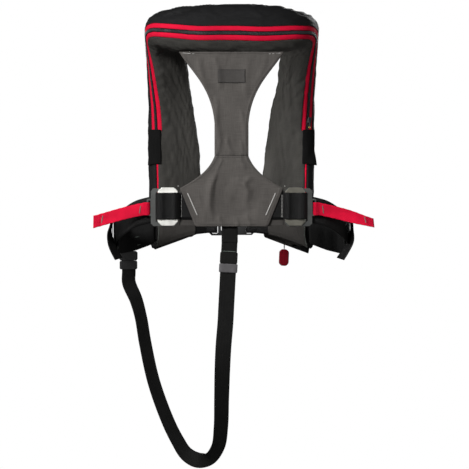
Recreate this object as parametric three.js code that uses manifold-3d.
// Inflatable life jacket, hung as it is worn: collar, two front lobes, back yoke, waist belt, crotch strap.
// Millimetres. +X is the wearer's right, +Y the wearer's front, +Z up.
// The origin is the innermost point of the collar, where it rests on the back of the neck.
import * as THREE from 'three';
import { mergeVertices } from 'three/addons/utils/BufferGeometryUtils.js';
import Module from 'manifold-3d';

const wasm = await Module();
wasm.setup();

// ---- driving dimensions ----------------------------------------------------------------------
const collarDepth = 76;          // collar roll, neck to back
const collarHeight = 92;         // collar roll, bottom to top
const lobeWidth = 122;           // flat width of a front lobe
const lobeThickness = 70;        // thickness of a packed front lobe
const shoulderX = 124;           // centre of the shoulder from the middle line
const lobeX = 112;               // centre of a front lobe from the middle line
const lobeY = 170;               // centre of a front lobe in front of the neck
const lobeBottomZ = -392;        // where the lobes start to close
const cornerPower = 2.5;         // roundness of the casing section
const fabric = 2.2;              // cover thickness
const gap = 0.4;                 // clearance between neighbours that touch on the real jacket
const zipAngle = -0.28;          // where the zip lies on the section, from its outer edge (radians)
const zipEndZ = -180;            // lower ends of the zip
const tapeWidth = 9;             // one zip tape
const chainWidth = 7;            // zip teeth
const pipingRadius = 2;          // edge piping below the zip
const flapLength = 68;           // closure flap, along the edge
const flapReach = 32;            // closure flap, across the edge

const webbing = 2.2;             // webbing thickness
const beltWidth = 50;            // waist belt webbing
const strapWidth = 30;           // crotch strap webbing
const tabWidth = 24;             // pull tab webbing
const tabLength = 108;           // pull tab, from its loop

const seamOverlap = 1;           // how far the yoke's seam reaches up under the collar
const yokeSeamZ = -241.5;        // seam between the two back panels
const yokeHemZ = -374;           // hem of the yoke
const yokeTopY = -57;            // back face plane, at the collar seam
const yokeHemY = -64;            // back face plane, at the hem
const panel = 2.5;               // back panel thickness
const beltZ = -335.5;            // belt centre at the back
const hingeX = 97.4;             // stitch line where each adjuster flexes on the back webbing

const plateWidth = 37;           // adjuster plate, along the belt
const plateProud = 0.5;          // adjuster plate, beyond the frame above and below
const plateSteel = 2;            // adjuster plate thickness
const frameSteel = 3;            // adjuster frame thickness
const webbingPlay = 3.1;         // room above and below the webbing in the adjuster frame
const turnPlay = 1.7;            // room between the folded webbing and the frame's outer bar
const frameRail = 7.4;           // top and bottom rails of the frame
const frameBar = 9;              // outer bar of the frame
const ringBar = 2.7;             // bar of the pull-tab ring

const bottleRadius = 15.5;       // gas cylinder
const bottleLength = 118;        // gas cylinder, base to shoulder
const inflatorHeight = 42;       // inflator body
const inflatorWidth = 34;
const leverArm = 20;             // inflator lever, pivot to cord
const cordRadius = 1.25;         // pull cord
const tubeRadius = 6.5;          // oral inflation tube

const buckleHeight = 60;         // front buckle
const buckleSteel = 5;
const buckleHalf = 47;           // half the length of the closed front buckle

// ---- solids -----------------------------------------------------------------------------------
const V = (x, y, z) => new THREE.Vector3(x, y, z);
const mix = THREE.MathUtils.lerp;
const smooth = THREE.MathUtils.smoothstep;

// Merge the seams of a mesh, drop collapsed triangles and turn it the right way out.
function closed(geometry) {
  geometry.deleteAttribute('normal');
  geometry.deleteAttribute('uv');
  const merged = mergeVertices(geometry, 1e-4);
  const position = merged.getAttribute('position');
  const index = merged.getIndex().array;
  const a = V(), b = V(), c = V();
  const kept = [];
  let volume = 0;
  for (let i = 0; i < index.length; i += 3) {
    const [p, q, r] = [index[i], index[i + 1], index[i + 2]];
    if (p === q || q === r || r === p) continue;
    kept.push(p, q, r);
    volume += a.fromBufferAttribute(position, p)
      .dot(b.fromBufferAttribute(position, q).cross(c.fromBufferAttribute(position, r)));
  }
  if (volume < 0) kept.reverse();
  merged.setIndex(kept);
  merged.computeVertexNormals();
  return merged;
}

// A block bent into shape: place(u, v, w) takes its three coordinates, each from 0 to 1.
function mould(steps, place) {
  const geometry = new THREE.BoxGeometry(1, 1, 1, ...steps);
  return warp(geometry, (p) => place(p.x + 0.5, p.y + 0.5, p.z + 0.5));
}

// A rod bent into shape: place(t, angle, r) runs along it, round it and out from its middle.
function loft(steps, sides, place) {
  const geometry = new THREE.CylinderGeometry(1, 1, 1, sides, steps);
  return warp(geometry, (p) => place(p.y + 0.5, Math.atan2(p.z, p.x), Math.hypot(p.x, p.z)));
}

function warp(geometry, place) {
  const position = geometry.getAttribute('position');
  const p = V();
  for (let i = 0; i < position.count; i += 1) {
    p.fromBufferAttribute(position, i);
    const q = place(p);
    position.setXYZ(i, q.x, q.y, q.z);
  }
  return closed(geometry);
}

// An outline in X and Z given a thickness in Y, from y to y + depth.
function plate(shape, y, depth, segments = 6) {
  const geometry = new THREE.ExtrudeGeometry(shape, { depth, bevelEnabled: false, curveSegments: segments });
  geometry.rotateX(Math.PI / 2);
  geometry.translate(0, y + depth, 0);
  return closed(geometry);
}

// An outline in X and Y given a height in Z, from z to z + height.
function slab(shape, z, height, segments = 8) {
  const geometry = new THREE.ExtrudeGeometry(shape, {
    depth: height, bevelEnabled: false, curveSegments: segments,
  });
  geometry.translate(0, 0, z);
  return closed(geometry);
}

// A rectangle with its corners cut at 45 degrees.
function chamfered(kind, x0, x1, z0, z1, cut) {
  const path = new kind();
  path.moveTo(x0 + cut, z0).lineTo(x1 - cut, z0).lineTo(x1, z0 + cut).lineTo(x1, z1 - cut)
    .lineTo(x1 - cut, z1).lineTo(x0 + cut, z1).lineTo(x0, z1 - cut).lineTo(x0, z0 + cut).closePath();
  return path;
}

function outline(points) {
  return new THREE.Shape(points.map(([x, y]) => new THREE.Vector2(x, y)));
}

function mirrored(geometry) {
  const copy = geometry.clone();
  copy.scale(-1, 1, 1);
  return closed(copy);
}

function toSolid(geometry) {
  return new wasm.Manifold(new wasm.Mesh({
    numProp: 3,
    vertProperties: new Float32Array(geometry.getAttribute('position').array),
    triVerts: new Uint32Array(geometry.getIndex().array),
  }));
}

function fromSolid(solid) {
  const mesh = solid.getMesh();
  const geometry = new THREE.BufferGeometry();
  geometry.setAttribute('position', new THREE.BufferAttribute(mesh.vertProperties, 3));
  geometry.setIndex(new THREE.BufferAttribute(mesh.triVerts, 1));
  return closed(geometry);
}

const joined = (...parts) => fromSolid(parts.map(toSolid).reduce((whole, part) => whole.add(part)));

// ---- the jacket's group and its finishes -------------------------------------------------------
const jacket = new THREE.Group();
jacket.name = 'inflatable_life_jacket';

const finish = (color, roughness, metalness = 0) => ({ color, roughness, metalness });
const coverCloth = finish(0x212122, 0.85);
const liningCloth = finish(0x3c3936, 0.9);
const yokeCloth = finish(0x5c5753, 0.9);
const redCloth = finish(0xd81538, 0.7);
const blackWebbing = finish(0x1c1c1c, 0.8);
const blackPlastic = finish(0x1b1b1c, 0.45);
const greyPlastic = finish(0x646267, 0.5);
const coatedSteel = finish(0x6c6c71, 0.45, 0.6);
const brushedSteel = finish(0xc9c6bf, 0.3, 1);
const bladderFilm = finish(0xd9e021, 0.6);
const toggleRed = finish(0x96101e, 0.35);

function add(name, geometry, look) {
  const mesh = new THREE.Mesh(geometry, new THREE.MeshStandardMaterial(look));
  mesh.name = name;
  jacket.add(mesh);
}

function addPair(name, geometry, look) {
  add(`right_${name}`, geometry, look);
  add(`left_${name}`, mirrored(geometry), look);
}

// ---- casing: a flattened tube from one lobe, round the neck, to the other lobe ------------------
const halfDepth = collarDepth / 2;
const halfHeight = collarHeight / 2;
const yokeTopZ = seamOverlap - halfHeight;
const halfWidth = lobeWidth / 2;
const halfThick = lobeThickness / 2;
const closing = 8;               // length over which a lobe's end closes
const endThick = 9;              // half thickness of a closed end

// Right half, neck to lobe end: centre, direction of the outer edge, half width, half thickness.
const stations = [
  { at: [0, -halfDepth, 0], out: [0, -1, 0], wide: halfDepth, thick: halfHeight },
  { at: [60, -halfDepth + 1, -2], out: [0.05, -1, 0], wide: halfDepth, thick: halfHeight - 1 },
  { at: [shoulderX - 20, -18, 2], out: [0.55, -0.83, 0.05], wide: 44, thick: 41 },
  { at: [shoulderX, 26, 6], out: [0.93, -0.35, 0.05], wide: 44, thick: 36 },
  { at: [shoulderX + 3, lobeY - 91, -12], out: [0.97, -0.22, 0.03], wide: 44, thick: halfThick - 1 },
  { at: [shoulderX, lobeY - 41, -69], out: [0.93, -0.35, 0], wide: 46, thick: halfThick - 2 },
  { at: [lobeX + 8, lobeY - 11, -134], out: [0.87, -0.5, 0], wide: 50, thick: halfThick - 2 },
  { at: [lobeX + 4, lobeY - 2, -214], out: [0.83, -0.56, 0], wide: halfWidth - 5, thick: halfThick - 1 },
  { at: [lobeX, lobeY, -304], out: [0.82, -0.57, -0.08], wide: halfWidth - 1, thick: halfThick },
  { at: [lobeX - 1, lobeY - 1, lobeBottomZ], out: [0.8, -0.56, -0.3], wide: halfWidth, thick: halfThick - 2 },
  { at: [lobeX - 1, lobeY - 1, lobeBottomZ - closing], out: [0.8, -0.56, -0.3], wide: halfWidth - 2, thick: endThick },
];
const leftStations = stations.slice(1).reverse()
  .map((s) => ({ ...s, at: [-s.at[0], s.at[1], s.at[2]], out: [-s.out[0], s.out[1], s.out[2]] }));
const allStations = [...leftStations, ...stations];
const centreLine = new THREE.CatmullRomCurve3(allStations.map((s) => V(...s.at)));
const outwards = new THREE.CatmullRomCurve3(allStations.map((s) => V(...s.out)));
const halves = new THREE.CatmullRomCurve3(allStations.map((s) => V(s.wide, s.thick, 0)));

function casingFrame(t) {
  const size = halves.getPoint(t);
  const out = outwards.getPoint(t).normalize();
  const face = out.clone().cross(centreLine.getTangent(t)).normalize();
  return { at: centreLine.getPoint(t), out, face, wide: size.x, thick: size.y };
}

// A point in the casing's section: u towards its outer edge, w towards its outer face.
const inSection = (frame, u, w) => frame.at.clone().addScaledVector(frame.out, u).addScaledVector(frame.face, w);

function reach(angle, wide, thick) {
  const u = Math.abs(Math.cos(angle) / wide) ** cornerPower;
  const w = Math.abs(Math.sin(angle) / thick) ** cornerPower;
  return (u + w) ** (-1 / cornerPower);
}

// A point on the casing's skin, or that much inside it.
function onCasing(t, angle, inset) {
  const frame = casingFrame(t);
  const r = reach(angle, frame.wide - inset, frame.thick - inset);
  return inSection(frame, r * Math.cos(angle), r * Math.sin(angle));
}

// Where the right lobe's centre line reaches a height.
function lobeAt(z) {
  let [high, low] = [0.6, 1];
  for (let i = 0; i < 30; i += 1) {
    const middle = (high + low) / 2;
    if (centreLine.getPoint(middle).z > z) high = middle;
    else low = middle;
  }
  return high;
}

const zipEnd = lobeAt(zipEndZ);
const zipClosed = lobeAt(zipEndZ - 12);
const zipHalf = chainWidth / 2 + gap + tapeWidth + gap;
const pipingHalf = pipingRadius + 2 * gap;

// Rows along the casing: both lobes below the zip, and the zip's own length between them.
const spread = (from, to, steps) => Array.from({ length: steps + 1 }, (_, i) => mix(from, to, i / steps));
const zipRows = spread(1 - zipEnd, zipEnd, 36);
const lobeRows = spread(zipClosed, 1, 8);
const casingRows = [...lobeRows.map((t) => 1 - t).reverse(), ...zipRows, ...lobeRows];

// Half the width of the slot between the covers, as an angle.
function slotAngle(t) {
  const inZip = t > 1 - zipEnd - 1e-6 && t < zipEnd + 1e-6;
  return (inZip ? zipHalf : pipingHalf) / casingFrame(t).wide;
}

// A strip of the casing's skin between two angles, each a function of the place along it.
function strip(rows, across, from, to, outer, inner) {
  return mould([rows.length - 1, across, 1], (u, v, w) => {
    const t = rows[Math.round(u * (rows.length - 1))];
    return onCasing(t, mix(from(t), to(t), v), mix(outer, inner, w));
  });
}

function buildCasing() {
  const seam = gap / halfDepth;
  add('outer_cover', strip(casingRows, 9, (t) => zipAngle + slotAngle(t), () => Math.PI - seam, 0, fabric),
    coverCloth);
  add('inner_cover', strip(casingRows, 9, () => seam - Math.PI, (t) => zipAngle - slotAngle(t), 0, fabric),
    liningCloth);
  const tape = (name, side) => {
    const edge = (distance) => (t) => zipAngle + side * distance / casingFrame(t).wide;
    const nearChain = chainWidth / 2 + gap;
    add(name, strip(zipRows, 1, edge(nearChain), edge(nearChain + tapeWidth), 0.2, 1.8), redCloth);
  };
  tape('outer_zip_tape', 1);
  tape('inner_zip_tape', -1);
  const teeth = (side) => (t) => zipAngle + side * chainWidth / 2 / casingFrame(t).wide;
  add('zip_chain', strip(zipRows, 1, teeth(-1), teeth(1), -0.8, 2), blackPlastic);
}

function buildPiping() {
  const rows = lobeRows.slice(0, -1);
  addPair('edge_piping', loft(rows.length - 1, 6, (t, angle, r) => {
    const along = rows[Math.round(t * (rows.length - 1))];
    const frame = casingFrame(along);
    const centre = onCasing(along, zipAngle, pipingRadius);
    return centre.addScaledVector(frame.out, r * pipingRadius * Math.cos(angle))
      .addScaledVector(frame.face, r * pipingRadius * Math.sin(angle));
  }), redCloth);
}

const flapTopZ = zipEndZ + 2;
function buildClosureFlaps() {
  const rows = spread(lobeAt(flapTopZ), lobeAt(flapTopZ - flapLength), 4);
  const hinge = 0.1;
  addPair('closure_flap', strip(rows, 4, () => hinge, (t) => hinge - flapReach / casingFrame(t).wide, -3.4, -1.4),
    blackWebbing);
}

// The zip's slider and its pull, parked at the lower right end.
function buildZipSlider() {
  const t = lobeAt(zipEndZ + 22);
  const seat = onCasing(t, zipAngle, -2.4);
  const normal = seat.clone().sub(onCasing(t, zipAngle, 1)).normalize();
  const along = centreLine.getTangent(t);
  const across = along.clone().cross(normal).normalize();
  const basis = new THREE.Matrix4().makeBasis(across, along, normal).setPosition(seat);
  const body = new THREE.BoxGeometry(8, 11, 3).translate(0, 0, 1.5);
  const pull = new THREE.BoxGeometry(4, 15, 1.4).translate(0, 9, 3.4);
  add('zip_slider', joined(closed(body), closed(pull)).applyMatrix4(basis), brushedSteel);
}

// ---- inside the casing --------------------------------------------------------------------------
const airGap = 6;                // space between the folded bladder and the covers
const bottleRoom = 4;            // between the bladder and the gas cylinder
const inflatorW = 9.5;           // middle of the inflator, towards the lobe's outer face
const flatBladder = (halfThick - airGap + inflatorW - bottleRadius - bottleRoom) / 2;
const lobeSpaceX = lobeAt(-150);
const lobeSpaceFull = lobeAt(-205);

function buildBladder() {
  const start = 1 - lobeAt(lobeBottomZ + 14);
  add('bladder', loft(34, 10, (v, angle, r) => {
    const t = mix(start, 1 - start, v);
    const frame = casingFrame(t);
    const side = Math.max(t, 1 - t);
    const flat = smooth(side, lobeSpaceX, lobeSpaceFull);
    const thick = mix(frame.thick - airGap, flatBladder, flat);
    const wide = mix(frame.wide - airGap, frame.wide - 2 * airGap, flat);
    const shift = mix(0, flatBladder + airGap - frame.thick, flat);
    const d = r * reach(angle, wide, thick);
    return inSection(frame, d * Math.cos(angle), d * Math.sin(angle) + shift);
  }), bladderFilm);
}

// Inflator: body, gas cylinder above it, lever beside it, cord and toggle below.
const inflatorTopZ = -345;
const inflatorFrame = casingFrame(lobeAt(inflatorTopZ - inflatorHeight / 2));
const inflatorOut = V(0.82, -0.57, 0).normalize();
const inflatorFace = V(0.57, 0.82, 0).normalize();
const inflatorU = 9;
const besideLobe = (u, w, z) => V(inflatorFrame.at.x, inflatorFrame.at.y, z)
  .addScaledVector(inflatorOut, u).addScaledVector(inflatorFace, w);
const turned = new THREE.Matrix4().makeBasis(inflatorOut, inflatorFace, V(0, 0, 1));
const placed = (geometry, at) => geometry.applyMatrix4(turned.clone().setPosition(at));

const leverThick = 4;
const leverPivotZ = inflatorTopZ - 17;
const leverU = inflatorU - inflatorWidth / 2 - gap - leverThick;
const leverPivotW = inflatorW + leverArm / 2;
const cordTopZ = leverPivotZ - 8;
const toggleTopZ = -419;
const toggleLength = 34;
const toggleWidth = 20;
const toggleThick = 9;

function buildInflator() {
  const depth = 2 * bottleRadius - 2;
  const body = new THREE.CylinderGeometry(0.5, 0.46, inflatorHeight, 10).rotateX(Math.PI / 2)
    .scale(inflatorWidth, depth, 1);
  add('inflator_body', placed(closed(body), besideLobe(inflatorU, inflatorW, inflatorTopZ - inflatorHeight / 2)),
    blackPlastic);

  const neck = 6;
  const r = bottleRadius;
  const profile = [[0, 0], [neck, 0], [neck, 9], [r * 0.8, 19], [r, 28], [r, bottleLength - 10],
    [r * 0.72, bottleLength - 2], [0, bottleLength]];
  const bottle = new THREE.LatheGeometry(profile.map(([x, y]) => new THREE.Vector2(x, y)), 14)
    .rotateX(Math.PI / 2);
  add('gas_cylinder', placed(closed(bottle), besideLobe(inflatorU, inflatorW, inflatorTopZ + gap)),
    finish(0xb9bcbd, 0.35, 0.9));

  const arm = outline([[-4, -4], [leverArm + 3, -3], [leverArm + 3, 3], [-4, 4]]);
  const lever = new THREE.ExtrudeGeometry(arm, { depth: leverThick, bevelEnabled: false });
  const leverBasis = new THREE.Matrix4()
    .makeBasis(inflatorFace.clone().negate(), V(0, 0, 1), inflatorOut.clone().negate())
    .setPosition(besideLobe(leverU + leverThick, leverPivotW, leverPivotZ));
  add('inflator_lever', closed(lever).applyMatrix4(leverBasis), finish(0xd8b21e, 0.5));

  const cordAt = besideLobe(leverU + leverThick / 2, leverPivotW - leverArm, 0);
  const cordLine = new THREE.LineCurve3(V(cordAt.x, cordAt.y, cordTopZ), V(cordAt.x, cordAt.y, toggleTopZ + gap));
  const section = new THREE.Shape().absarc(0, 0, cordRadius, 0, 2 * Math.PI);
  const cord = new THREE.ExtrudeGeometry(section, { extrudePath: cordLine, steps: 10, curveSegments: 4 });
  add('pull_cord', closed(cord), finish(0xe8e8e4, 0.7));

  const toggle = plate(chamfered(THREE.Shape, -toggleWidth / 2, toggleWidth / 2, -toggleLength, 0, 5),
    -toggleThick / 2, toggleThick);
  toggle.rotateY(0.04).translate(cordAt.x, cordAt.y, toggleTopZ);
  add('pull_toggle', toggle, toggleRed);
}

const tubeBottomZ = -318;
const tubeTopZ = -236;
function buildOralTube() {
  const at = (w, z) => {
    const p = besideLobe(0, w, z);
    return V(-p.x, p.y, p.z);
  };
  const line = new THREE.CatmullRomCurve3([at(-4.5, tubeBottomZ), at(4, tubeBottomZ + 1),
    at(10, tubeBottomZ + 8), at(11, tubeBottomZ + 22), at(11, tubeTopZ)]);
  const section = new THREE.Shape().absarc(0, 0, tubeRadius, 0, 2 * Math.PI);
  const tube = new THREE.ExtrudeGeometry(section, { extrudePath: line, steps: 16, curveSegments: 5 });
  add('oral_tube', closed(tube), finish(0x262628, 0.5));
  const cap = new THREE.CylinderGeometry(tubeRadius + 1.5, tubeRadius + 2, 13, 12).rotateX(Math.PI / 2);
  add('oral_tube_cap', closed(cap).translate(...at(11, tubeTopZ + gap + 6.5).toArray()), finish(0xc41c24, 0.4));

  const whistle = plate(outline([[-7, -22], [7, -22], [7, 12], [3, 22], [-3, 22], [-7, 12]]), -4, 8);
  const beside = besideLobe(26, 9, -300);
  whistle.rotateZ(Math.atan2(0.57, 0.82)).translate(-beside.x, beside.y, beside.z);
  add('whistle', whistle, finish(0xe06a1a, 0.4));
}

// ---- back yoke -----------------------------------------------------------------------------------
// Y of the yoke's back face at a height.
const yokeFaceY = (z) => mix(yokeTopY, yokeHemY, (yokeTopZ - z) / (yokeTopZ - yokeHemZ));

// A panel lying on the yoke's plane, that deep behind its face.
function onYoke(shape, inset, thickness, segments = 5) {
  const flat = plate(shape, inset, thickness, segments);
  return warp(flat, (p) => V(p.x, p.y + yokeFaceY(p.z), p.z));
}

const yokeTopHalf = 99;
const yokeNeckHalf = 32;
const cornerX = 97;
const cornerZ = -302;
const hemCornerX = 70;
const webbingInset = panel + gap;
const backingInset = webbingInset + webbing + gap;

function buildYoke() {
  const upper = new THREE.Shape();
  upper.moveTo(-yokeTopHalf, yokeTopZ).lineTo(yokeTopHalf, yokeTopZ)
    .bezierCurveTo(75, -85, 38, -110, yokeNeckHalf, -180)
    .lineTo(yokeNeckHalf, yokeSeamZ + gap).lineTo(-yokeNeckHalf, yokeSeamZ + gap)
    .lineTo(-yokeNeckHalf, -180).bezierCurveTo(-38, -110, -75, -85, -yokeTopHalf, yokeTopZ);
  add('yoke_upper_panel', onYoke(upper, 0, panel, 8), yokeCloth);

  const lower = new THREE.Shape();
  lower.moveTo(-yokeNeckHalf, yokeSeamZ).lineTo(yokeNeckHalf, yokeSeamZ)
    .bezierCurveTo(42, -268, 64, -284, cornerX, cornerZ)
    .lineTo(hemCornerX, yokeHemZ + 4).lineTo(hemCornerX - 4, yokeHemZ)
    .lineTo(4 - hemCornerX, yokeHemZ).lineTo(-hemCornerX, yokeHemZ + 4).lineTo(-cornerX, cornerZ)
    .bezierCurveTo(-64, -284, -42, -268, -yokeNeckHalf, yokeSeamZ);
  add('yoke_lower_panel', onYoke(lower, 0, panel, 6), yokeCloth);

  const backHalf = hingeX - gap;
  const back = chamfered(THREE.Shape, -backHalf, backHalf, beltZ - beltWidth / 2, beltZ + beltWidth / 2, 0.5);
  add('back_webbing', onYoke(back, webbingInset, webbing), blackWebbing);

  const backing = outline([[-94, cornerZ + 1], [94, cornerZ + 1], [98, -308], [98, yokeHemZ + 1],
    [-98, yokeHemZ + 1], [-98, -308]]);
  add('yoke_backing_panel', onYoke(backing, backingInset, panel - 0.5), yokeCloth);

  const patch = chamfered(THREE.Shape, -26, 26, -104, -78, 2);
  add('yoke_patch', onYoke(patch, -1.2 - gap, 1.2), finish(0x4a4744, 0.8));
}

// ---- adjusters ------------------------------------------------------------------------------------
const adjusterY = -64.5;         // middle of the adjuster frame
const frameX0 = hingeX + 3.6;    // inner end of the frame
const frameZ = beltZ - 2.4;
const plateX0 = frameX0 + 0.2;
const plateX1 = plateX0 + plateWidth;
const frameX1 = plateX1 + gap + webbing + turnPlay + frameBar;
const ringX = frameX1 + 4.8 + ringBar / 2;       // axis of the pull tab's ring bar
const frameHeight = beltWidth + 2 * (frameRail + webbingPlay);
const plateHeight = frameHeight + 2 * plateProud;
const plateY = adjusterY - frameSteel / 2 - 0.6 - plateSteel;
const turnY = plateY - gap - webbing;

function buildAdjusters() {
  const outer = chamfered(THREE.Shape, frameX0, frameX1, frameZ - frameHeight / 2, frameZ + frameHeight / 2, 5);
  const window = chamfered(THREE.Path, frameX0 + 4, frameX1 - frameBar, frameZ - frameHeight / 2 + frameRail,
    frameZ + frameHeight / 2 - frameRail, 2);
  outer.holes.push(window);
  const ringHalf = tabWidth / 2 + 1.2;
  const ringRim = 3;
  const ring = chamfered(THREE.Shape, frameX1 - 2, ringX + ringBar / 2, frameZ - ringHalf - ringRim,
    frameZ + ringHalf + ringRim, 2);
  ring.holes.push(chamfered(THREE.Path, frameX1 + 0.6, ringX - ringBar / 2, frameZ - ringHalf,
    frameZ + ringHalf, 0.5));
  const y = adjusterY - frameSteel / 2;
  addPair('adjuster_frame', joined(plate(outer, y, frameSteel), plate(ring, y, frameSteel)), coatedSteel);

  const steel = chamfered(THREE.Shape, plateX0, plateX1, frameZ + 1.2 - plateHeight / 2,
    frameZ + 1.2 + plateHeight / 2, 7);
  addPair('adjuster_plate', plate(steel, plateY, plateSteel), brushedSteel);

  // Webbing folded round the plate: over its back face, round its outer edge, and back inside the frame.
  const x1 = plateX1 + gap;
  const inner = adjusterY + webbing / 2;
  const fold = outline([[hingeX, adjusterY + 1], [hingeX, adjusterY - webbing + 1], [frameX0 - 1, turnY],
    [x1, turnY], [x1 + webbing, turnY + webbing], [x1 + webbing, inner - 1], [x1 + webbing - 1, inner],
    [frameX0 + 6, inner], [frameX0 + 6, inner - webbing], [x1, inner - webbing],
    [x1, turnY + webbing], [frameX0 - 0.6, turnY + webbing]]);
  addPair('webbing_turn', slab(fold, beltZ - beltWidth / 2, beltWidth), blackWebbing);
}

const tabDrop = 0.25;            // fall of the tab for each millimetre outwards
function buildPullTabs() {
  const loop = 4.6;
  const eye = 2.75;
  const half = 1.7;
  const from = Math.asin(half / loop);
  const end = ringX + tabLength;
  const bend = ringX + 7;
  const shape = new THREE.Shape();
  shape.absarc(ringX, adjusterY, loop, from, 2 * Math.PI - from);
  shape.lineTo(bend, adjusterY - half).lineTo(end - 14, adjusterY - half).lineTo(end - 12, adjusterY - half - 1)
    .lineTo(end, adjusterY - half - 1).lineTo(end, adjusterY + half + 1).lineTo(end - 12, adjusterY + half + 1)
    .lineTo(end - 14, adjusterY + half).lineTo(bend, adjusterY + half);
  shape.holes.push(new THREE.Path().absarc(ringX, adjusterY, eye, 0, 2 * Math.PI));
  const flat = slab(shape, frameZ - tabWidth / 2, tabWidth, 6);
  addPair('pull_tab', warp(flat, (p) => V(p.x, p.y, p.z - tabDrop * Math.max(0, p.x - bend))), redCloth);
}

// ---- side belts and hip pads ------------------------------------------------------------------------
// A point beside the middle of the right lobe: u towards its outer edge, w towards its outer face.
const besideRight = (u, w, z) => V(lobeX - 1, lobeY - 1, z)
  .addScaledVector(inflatorOut, u).addScaledVector(inflatorFace, w);
const beltRoom = 5.7;            // from the lobe's inner face to the middle of the belt

// Right half of the belt's centre line, from behind the adjuster to the front buckle.
const beltLine = new THREE.CatmullRomCurve3([
  V(146, adjusterY + 8, -341), V(180, -49, -350), V(210, -22, -368), V(227, 25, -384), V(229, 68, -388),
  V(215, 93, -388), V(188, 97, -386), V(160, 97, -380), besideRight(60, 2 - beltRoom - halfThick, -375),
  besideRight(2.5, -beltRoom - halfThick, -366),
  V(buckleHalf + 3, lobeY - 6.5, -361),
]);

// A band standing along the belt: from and to along it, rise above and below, offset outwards.
function beltBand(steps, from, to, low, high, near, far) {
  return mould([steps, 1, 1], (u, v, w) => {
    const t = mix(from, to, u);
    const tangent = beltLine.getTangent(t);
    const outward = V(-tangent.y, tangent.x, 0).normalize().negate();
    const p = beltLine.getPoint(t).addScaledVector(outward, mix(near, far, w));
    p.z += mix(low(u), high(u), v);
    return p;
  });
}

const half = beltWidth / 2;
const padFrom = 0.3;
const padTo = 0.72;
const keeperAt = 0.345;
const keeperLength = 22;
const tailFrom = -1;             // the belt's loose tail, in Y
const tailTo = 23;

function buildSideBelts() {
  addPair('side_belt', beltBand(36, 0, 1, () => -half, () => half, -webbing / 2, webbing / 2), blackWebbing);

  const top = (u) => mix(34, 26, smooth(u, 0.5, 1));
  const bottom = (u) => -38 + 8 * smooth(u, 0.4, 1);
  addPair('hip_pad', beltBand(16, padFrom, padTo, bottom, top, -9.4, -4.4), blackWebbing);

  const at = beltLine.getPoint(keeperAt);
  const tangent = beltLine.getTangent(keeperAt);
  const outward = V(tangent.y, -tangent.x, 0).normalize();
  const up = tangent.clone().cross(outward).normalize();
  const basis = new THREE.Matrix4().makeBasis(outward, up, tangent).setPosition(at);
  const ring = chamfered(THREE.Shape, -3.8, 3.8, -half - 3, half + 3, 0.8);
  ring.holes.push(chamfered(THREE.Path, -2.3, 2.3, -half - 1.4, half + 1.4, 0.2));
  const keeper = new THREE.ExtrudeGeometry(ring, { depth: keeperLength, bevelEnabled: false });
  keeper.translate(0, 0, -keeperLength / 2);
  addPair('belt_keeper', closed(keeper).applyMatrix4(basis), greyPlastic);

  const tail = new THREE.CatmullRomCurve3([V(at.x + 2.5, 0, -364), V(at.x + 14, 0, -380), V(at.x + 5, 0, -405),
    V(at.x - 10, 0, -436)]);
  addPair('belt_tail', mould([6, 1, 1], (u, v, w) => {
    const p = tail.getPoint(u);
    return V(p.x + 2 * (w - 0.5), mix(tailFrom, tailTo, v), p.z);
  }), blackWebbing);
}

// ---- front buckle ------------------------------------------------------------------------------------
const buckleY = lobeY - 5;
const buckleZ = -361;
function buildFrontBuckle() {
  const z0 = buckleZ - buckleHeight / 2;
  const z1 = buckleZ + buckleHeight / 2;
  const frame = chamfered(THREE.Shape, -buckleHalf, 4, z0, z1, 6);
  frame.holes.push(chamfered(THREE.Path, -buckleHalf + 6, -28, z0 + 4, z1 - 4, 2));
  frame.holes.push(chamfered(THREE.Path, -22, -3, z0 + 9, z1 - 9, 2));
  add('front_buckle_frame', plate(frame, buckleY, buckleSteel), blackPlastic);

  const body = chamfered(THREE.Shape, 4.6, buckleHalf, z0 + 1, z1 - 1, 6);
  body.holes.push(chamfered(THREE.Path, 29, buckleHalf - 6, z0 + 4, z1 - 4, 2));
  const nose = outline([[18, buckleY + buckleSteel - 1], [18, buckleY + 2 * buckleSteel + 0.6],
    [-8, buckleY + 2 * buckleSteel + 0.6], [-8, buckleY + buckleSteel + 0.6], [8, buckleY + buckleSteel + 0.6],
    [8, buckleY + buckleSteel - 1]]);
  const width = buckleHeight - 26;
  add('front_buckle_hook', joined(plate(body, buckleY, buckleSteel), slab(nose, buckleZ - width / 2, width)),
    blackPlastic);
}

// ---- crotch strap --------------------------------------------------------------------------------------
const anchorTopZ = yokeHemZ + 12;
const anchorEndZ = -399.5;
const anchorY = yokeHemY + backingInset + panel + gap + 1.4;
const strapTop = V(-3.5, anchorY, anchorEndZ - 3 * gap);
const strapSlope = V(-0.052, 0, -1).normalize();
const sliderLength = 38;
const sliderAt = 22;             // strap length from the anchor to the slider's top
const down = (d) => strapTop.clone().addScaledVector(strapSlope, d);
const hip = V(-206, 105, 0);      // the crotch buckle, in plan
const buckleTurn = Math.atan2(0.5, 0.85);
const tongueInset = 1.6;         // the strap lies this far behind the middle of the tongue
const strapEnd = V(hip.x + tongueInset * Math.sin(buckleTurn), hip.y - tongueInset * Math.cos(buckleTurn), -444);
const upTo = (d) => V(strapEnd.x, strapEnd.y, strapEnd.z - d);

// The strap's route: straight down from the yoke, round its lowest point, up to the left hip.
const strapRoute = [
  down(0), down(40), down(80), down(120), down(165), V(-16, -48, -640), V(-20, -28, -705), V(-26, -6, -760),
  V(-37, 14, -800), V(-54, 30, -820), V(-74, 42, -826), V(-92, 50, -816), V(-108, 57, -792),
  V(-126, 66, -755), V(-154, 78, -680), V(-173, 88, -602), V(-188, 96, -545),
  V(-201.5, 101.5, -506), upTo(38), upTo(19), upTo(0),
];
const strapLine = new THREE.CatmullRomCurve3(strapRoute);

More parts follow.
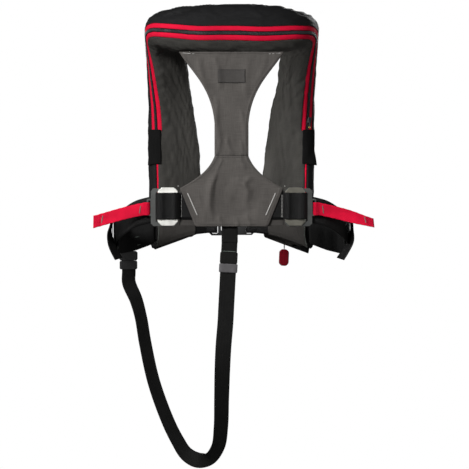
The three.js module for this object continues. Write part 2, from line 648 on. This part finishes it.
function buildCrotchStrap() {
  const anchorShape = outline([[-15, anchorEndZ], [15, anchorEndZ], [15, anchorTopZ], [-15, anchorTopZ]]);
  add('crotch_anchor', plate(anchorShape, anchorY - 1.4, 2.8).translate(strapTop.x, 0, 0), blackWebbing);

  const back = V(0, -1, 0);
  const turnedBack = V(0.5, -0.85, 0).normalize();
  add('crotch_strap', mould([60, 1, 1], (u, v, w) => {
    const tangent = strapLine.getTangent(u);
    const facing = back.clone().lerp(turnedBack, smooth(u, 0.68, 0.9));
    const across = tangent.clone().cross(facing).normalize();
    const through = across.clone().cross(tangent);
    return strapLine.getPoint(u).addScaledVector(across, strapWidth * (v - 0.5))
      .addScaledVector(through, webbing * (w - 0.5));
  }), blackWebbing);

  const body = chamfered(THREE.Shape, -strapWidth / 2 - 2.4, strapWidth / 2 + 2.4, -3.8, 3.8, 1.6);
  body.holes.push(chamfered(THREE.Path, -strapWidth / 2 - 0.8, strapWidth / 2 + 0.8, -1.9, 1.9, 0.3));
  const slider = new THREE.ExtrudeGeometry(body, { depth: sliderLength, bevelEnabled: false });
  const across = V(0, 1, 0).cross(strapSlope).normalize();
  slider.applyMatrix4(new THREE.Matrix4().makeBasis(across, V(0, 1, 0), strapSlope).setPosition(down(sliderAt)));
  add('crotch_slider', closed(slider), greyPlastic);
}

// Side-release buckle hanging from the left hip: loop, socket and tongue. The strap passes through the tongue.
const loopTopZ = -384;
const socketTopZ = -422;
const socketLength = 19;
const tongueLength = 17;
const tongueHalf = 17.5;
function buildCrotchBuckle() {
  const seat = (geometry) => geometry.rotateZ(buckleTurn).translate(hip.x, hip.y, 0);
  const rect = (x0, x1, z0, z1) => outline([[x0, z0], [x1, z0], [x1, z1], [x0, z1]]);
  const cut = (geometry, hole) => fromSolid(toSolid(geometry).subtract(toSolid(hole)));
  const loop = plate(rect(-14, 14, socketTopZ + gap, loopTopZ), -1.4, 2.8);
  add('crotch_hip_loop', seat(loop), blackWebbing);

  const z = socketTopZ - socketLength;
  const socket = plate(chamfered(THREE.Shape, -18, 18, z, socketTopZ, 3), -5, 10);
  const pocket = plate(rect(-13.4, 13.4, z - 1, z + 15), 0, 4.2);
  add('crotch_buckle_socket', seat(cut(socket, pocket)), blackPlastic);

  const sleeve = plate(chamfered(THREE.Shape, -tongueHalf, tongueHalf, z - gap - tongueLength, z - gap, 2), -4.6, 8.8);
  const slot = plate(rect(-strapWidth / 2 - 0.7, strapWidth / 2 + 0.7, z - tongueLength - 2, z + 1),
    -tongueInset - 1.7, 3.4);
  const prongs = outline([[-12.6, z + 12], [-6, z + 13], [-6, z + 2], [6, z + 2], [6, z + 13], [12.6, z + 12],
    [12.6, z - 2], [-12.6, z - 2]]);
  const tongue = toSolid(cut(sleeve, slot)).add(toSolid(plate(prongs, 0.6, 3)));
  add('crotch_buckle_tongue', seat(fromSolid(tongue)), blackPlastic);
}

buildCasing();
buildPiping();
buildClosureFlaps();
buildZipSlider();
buildBladder();
buildInflator();
buildOralTube();
buildYoke();
buildAdjusters();
buildPullTabs();
buildSideBelts();
buildFrontBuckle();
buildCrotchStrap();
buildCrotchBuckle();

export default jacket;
